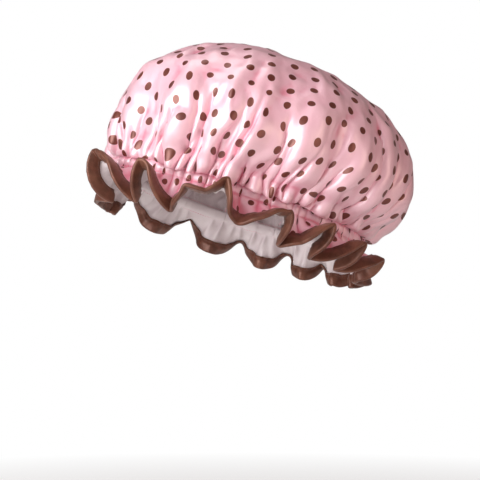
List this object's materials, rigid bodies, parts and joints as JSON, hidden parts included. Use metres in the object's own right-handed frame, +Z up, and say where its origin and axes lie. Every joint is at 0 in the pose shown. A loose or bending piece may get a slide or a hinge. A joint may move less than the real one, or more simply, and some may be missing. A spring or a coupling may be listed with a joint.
{
  "type": "shower cap",
  "caption": "Gathered shower cap: a puffed satin shell over a waterproof lining, elastic round the head opening, and a frilled hem bound with tape.",
  "frame": {"origin": "middle of the head opening, halfway up the elastic", "axes": "+Z up for an upright wearer, who faces -Y, so +X is the wearer's left; the opening's own plane is tilted 18.5 degrees about X, higher at the forehead"},
  "size_m": [0.2425, 0.2768, 0.1996],
  "materials": {
    "satin": "pink polyester satin with small brown dots, soft sheen",
    "lining": "thin translucent waterproof film, pale, slightly glossy",
    "elastic": "woven white elastic, matt",
    "binding": "brown satin bias tape, soft sheen"
  },
  "bodies": {
    "root": {"satin_shell": "satin", "waterproof_lining": "lining", "elastic_band": "elastic", "edge_binding": "binding"}
  },
  "joints": []
}
